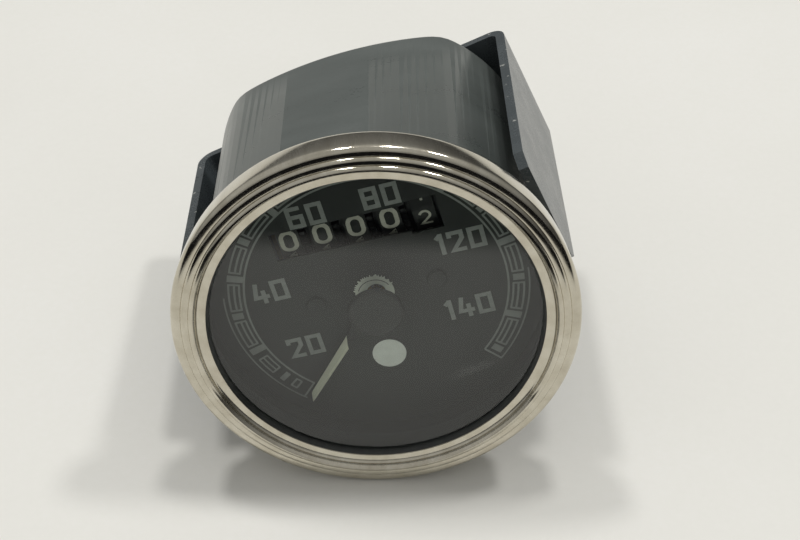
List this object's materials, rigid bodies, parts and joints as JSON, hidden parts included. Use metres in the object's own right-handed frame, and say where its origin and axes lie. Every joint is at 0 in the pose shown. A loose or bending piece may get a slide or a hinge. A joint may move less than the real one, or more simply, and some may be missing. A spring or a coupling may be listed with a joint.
{
  "type": "speedometer",
  "caption": "Round dashboard speedometer with a rolled rim, flat glass, magnetic pointer movement, geared distance counter, drawn case and a clamping bracket.",
  "frame": {"origin": "on the main axis, in the plane of the rim's back, which lies on the front of the panel", "axes": "+Y backwards along the main axis to the cable spigot, so the dial faces -Y; +Z to the dial's 12 o'clock; +X to the right of the dial as it is read"},
  "size_m": [0.0806, 0.0843, 0.08],
  "materials": {
    "bezel": "polished",
    "glass_gasket": "matte",
    "glass": "clear",
    "dial_ring": "matte",
    "dial": "matte",
    "dial_screws": "satin",
    "dial_posts": "turned",
    "case": "satin",
    "case_screws": "zinc plated",
    "mounting_bracket": "satin",
    "bracket_studs": "zinc plated",
    "bracket_washers": "zinc plated",
    "bracket_nuts": "zinc plated",
    "movement_frame": "die cast zinc",
    "cable_spigot": "nickel plated",
    "drive_bush": "sintered bronze",
    "bridge": "stamped",
    "bridge_screws": "zinc plated",
    "upper_bearing": "turned",
    "field_ring": "dull",
    "hairspring": "phosphor bronze",
    "spring_stud": "turned",
    "stop_pin": "bright",
    "drum_axle": "bright",
    "pinion_axle": "bright",
    "counter_plate_left": "stamped",
    "counter_plate_right": "stamped",
    "counter_plate_screws": "zinc plated",
    "lamp_holder": "nickel plated",
    "bulb": "clear",
    "pointer": "cream and black",
    "pointer_cap": "gloss",
    "spindle": "bright",
    "speed_cup": "drawn",
    "drive_shaft": "hardened",
    "magnet": "cast magnet alloy",
    "worm_shaft": "bright",
    "worm_wheel": "milled",
    "transfer_shaft": "bright",
    "transfer_wheel": "milled",
    "transfer_gear": "stamped",
    "drum": "satin black with printed digits",
    "carry_pinion": "moulded"
  },
  "bodies": {
    "instrument": {"bezel": "bezel", "glass_gasket": "glass_gasket", "glass": "glass", "dial_ring": "dial_ring", "dial": "dial", "dial_screws": "dial_screws", "dial_posts": "dial_posts", "case": "case", "case_screws": "case_screws", "mounting_bracket": "mounting_bracket", "bracket_studs": "bracket_studs", "bracket_washers": "bracket_washers", "bracket_nuts": "bracket_nuts", "movement_frame": "movement_frame", "cable_spigot": "cable_spigot", "drive_bush": "drive_bush", "bridge": "bridge", "bridge_screws": "bridge_screws", "upper_bearing": "upper_bearing", "field_ring": "field_ring", "hairspring": "hairspring", "spring_stud": "spring_stud", "stop_pin": "stop_pin", "drum_axle": "drum_axle", "pinion_axle": "pinion_axle", "counter_plate_left": "counter_plate_left", "counter_plate_right": "counter_plate_right", "counter_plate_screws": "counter_plate_screws", "lamp_holder": "lamp_holder", "bulb": "bulb"},
    "pointer": {"pointer": "pointer", "pointer_cap": "pointer_cap", "spindle": "spindle", "speed_cup": "speed_cup"},
    "drive": {"drive_shaft": "drive_shaft", "magnet": "magnet"},
    "worm": {"worm_shaft": "worm_shaft", "worm_wheel": "worm_wheel"},
    "transfer": {"transfer_shaft": "transfer_shaft", "transfer_wheel": "transfer_wheel", "transfer_gear": "transfer_gear"},
    "tenths": {"drum_tenths": "drum"},
    "units": {"drum_units": "drum"},
    "tens": {"drum_tens": "drum"},
    "hundreds": {"drum_hundreds": "drum"},
    "thousands": {"drum_thousands": "drum"},
    "pinion_units": {"carry_pinion_units": "carry_pinion"},
    "pinion_tens": {"carry_pinion_tens": "carry_pinion"},
    "pinion_hundreds": {"carry_pinion_hundreds": "carry_pinion"},
    "pinion_thousands": {"carry_pinion_thousands": "carry_pinion"}
  },
  "joints": [
    {"name": "pointer_swing", "type": "hinge", "parent": "instrument", "child": "pointer", "pos_m": [0, 0, 0], "axis": [0, 1, 0], "range_deg": [0, 272], "stiffness_Nm_per_rad": 0.0001, "springref_deg": -17.19},
    {"name": "drive_spin", "type": "hinge", "parent": "instrument", "child": "drive", "pos_m": [0, 0, 0], "axis": [0, 1, 0], "continuous": true},
    {"name": "worm_shaft_spin", "type": "hinge", "parent": "instrument", "child": "worm", "pos_m": [0.0076, 0.03521, 0], "axis": [0, 0, 1], "continuous": true},
    {"name": "transfer_spin", "type": "hinge", "parent": "instrument", "child": "transfer", "pos_m": [0, 0.02761, 0.0177], "axis": [1, 0, 0], "continuous": true},
    {"name": "tenths_spin", "type": "hinge", "parent": "instrument", "child": "tenths", "pos_m": [0, 0.0126, 0.0153], "axis": [1, 0, 0], "continuous": true},
    {"name": "units_spin", "type": "hinge", "parent": "instrument", "child": "units", "pos_m": [0, 0.0126, 0.0153], "axis": [1, 0, 0], "continuous": true},
    {"name": "tens_spin", "type": "hinge", "parent": "instrument", "child": "tens", "pos_m": [0, 0.0126, 0.0153], "axis": [1, 0, 0], "continuous": true},
    {"name": "hundreds_spin", "type": "hinge", "parent": "instrument", "child": "hundreds", "pos_m": [0, 0.0126, 0.0153], "axis": [1, 0, 0], "continuous": true},
    {"name": "thousands_spin", "type": "hinge", "parent": "instrument", "child": "thousands", "pos_m": [0, 0.0126, 0.0153], "axis": [1, 0, 0], "continuous": true},
    {"name": "pinion_units_spin", "type": "hinge", "parent": "instrument", "child": "pinion_units", "pos_m": [0, 0.02064, 0.02205], "axis": [1, 0, 0], "continuous": true},
    {"name": "pinion_tens_spin", "type": "hinge", "parent": "instrument", "child": "pinion_tens", "pos_m": [0, 0.02064, 0.02205], "axis": [1, 0, 0], "continuous": true},
    {"name": "pinion_hundreds_spin", "type": "hinge", "parent": "instrument", "child": "pinion_hundreds", "pos_m": [0, 0.02064, 0.02205], "axis": [1, 0, 0], "continuous": true},
    {"name": "pinion_thousands_spin", "type": "hinge", "parent": "instrument", "child": "pinion_thousands", "pos_m": [0, 0.02064, 0.02205], "axis": [1, 0, 0], "continuous": true}
  ],
  "couplings": [
    {"joint": "worm_shaft_spin", "follows": "drive_spin", "ratio": 0.038462},
    {"joint": "transfer_spin", "follows": "drive_spin", "ratio": -0.0013736},
    {"joint": "tenths_spin", "follows": "drive_spin", "ratio": 0.000999},
    {"joint": "units_spin", "follows": "drive_spin", "ratio": 0.0000999},
    {"joint": "tens_spin", "follows": "drive_spin", "ratio": 0.00000999},
    {"joint": "hundreds_spin", "follows": "drive_spin", "ratio": 0.000000999},
    {"joint": "thousands_spin", "follows": "drive_spin", "ratio": 0.0000000999},
    {"joint": "pinion_units_spin", "follows": "drive_spin", "ratio": -0.00024975},
    {"joint": "pinion_tens_spin", "follows": "drive_spin", "ratio": -0.000024975},
    {"joint": "pinion_hundreds_spin", "follows": "drive_spin", "ratio": -0.0000024975},
    {"joint": "pinion_thousands_spin", "follows": "drive_spin", "ratio": -0.00000024975}
  ]
}
